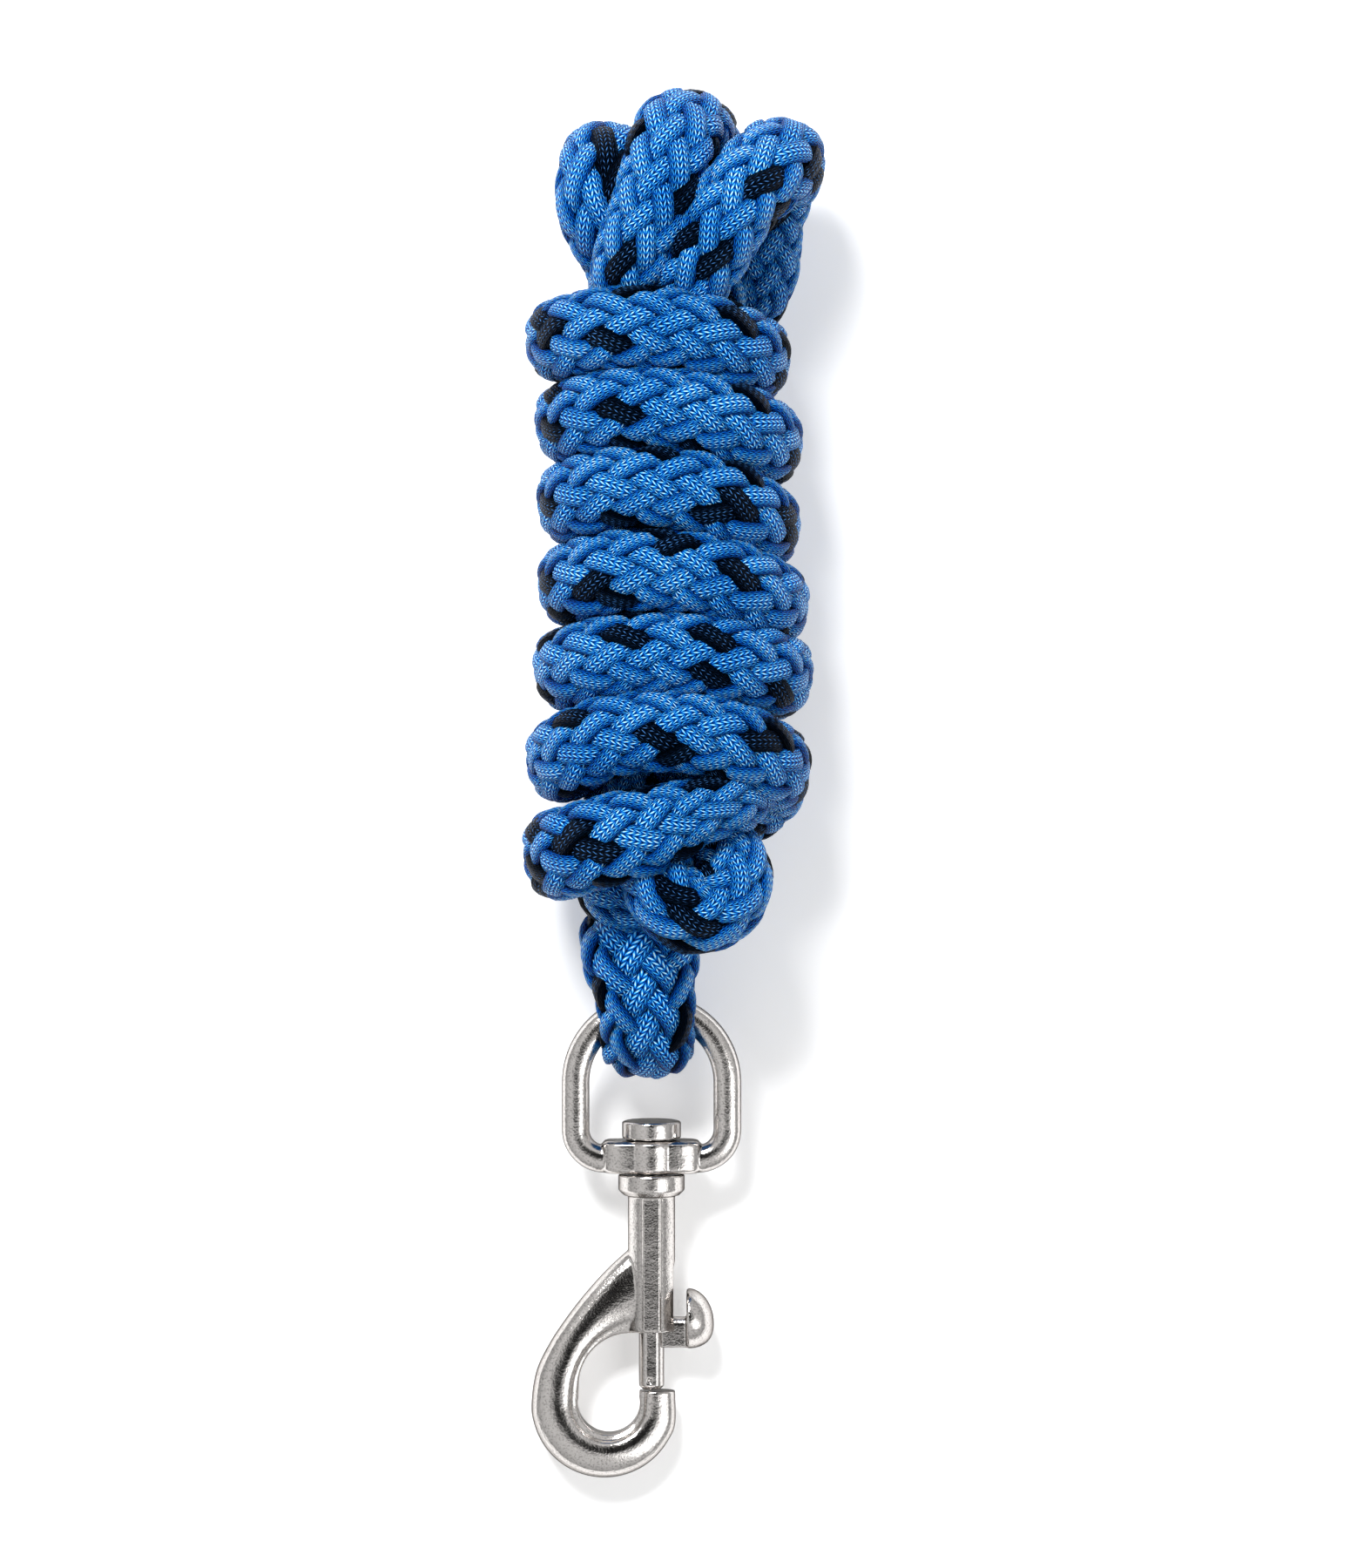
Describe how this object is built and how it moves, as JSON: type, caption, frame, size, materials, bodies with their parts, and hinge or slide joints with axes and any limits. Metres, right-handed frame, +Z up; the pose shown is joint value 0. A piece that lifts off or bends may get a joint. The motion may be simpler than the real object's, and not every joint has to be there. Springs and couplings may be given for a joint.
{
  "type": "lead rope",
  "caption": "Round braided lead rope folded and wrapped into a hank, with a swivel bolt snap spliced on its end.",
  "frame": {"origin": "on the surface it lies on, under the middle of the snap's own box", "axes": "+Y along the rope from the hook towards the top of the hank, +X to the thumb knob's side, +Z up from the surface it lies on"},
  "size_m": [0.0714, 0.3209, 0.0583],
  "materials": {
    "plated_casting": "satin",
    "plated_steel": "polished",
    "spring_wire": "satin",
    "blue_braid": "satin",
    "black_fleck": "matte"
  },
  "bodies": {
    "rope": {"rope_hank": "blue_braid", "rope_top_bights": "blue_braid", "rope_bottom_bights": "blue_braid", "rope_eye": "blue_braid"},
    "eye": {"swivel_eye": "plated_casting"},
    "hook": {"hook_body": "plated_casting", "swivel_rivet": "plated_steel", "bolt_spring": "spring_wire"},
    "bolt": {"bolt": "plated_steel", "thumb_knob": "plated_casting"}
  },
  "joints": [
    {"name": "eye_tilt", "type": "hinge", "parent": "rope", "child": "eye", "pos_m": [0.0036, 0.0532, 0.01534], "axis": [1, 0, 0], "range_deg": [-60, 60]},
    {"name": "swivel_spin", "type": "hinge", "parent": "eye", "child": "hook", "pos_m": [0.0036, 0.01461, 0.01183], "axis": [0, 0.9959, 0.0906], "continuous": true},
    {"name": "bolt_slide", "type": "slide", "parent": "hook", "child": "bolt", "axis": [0, 0.9959, 0.0906], "range_m": [0, 0.0125], "stiffness_N_per_m": 400, "springref_m": -0.0075, "deforming": ["bolt_spring"]}
  ]
}
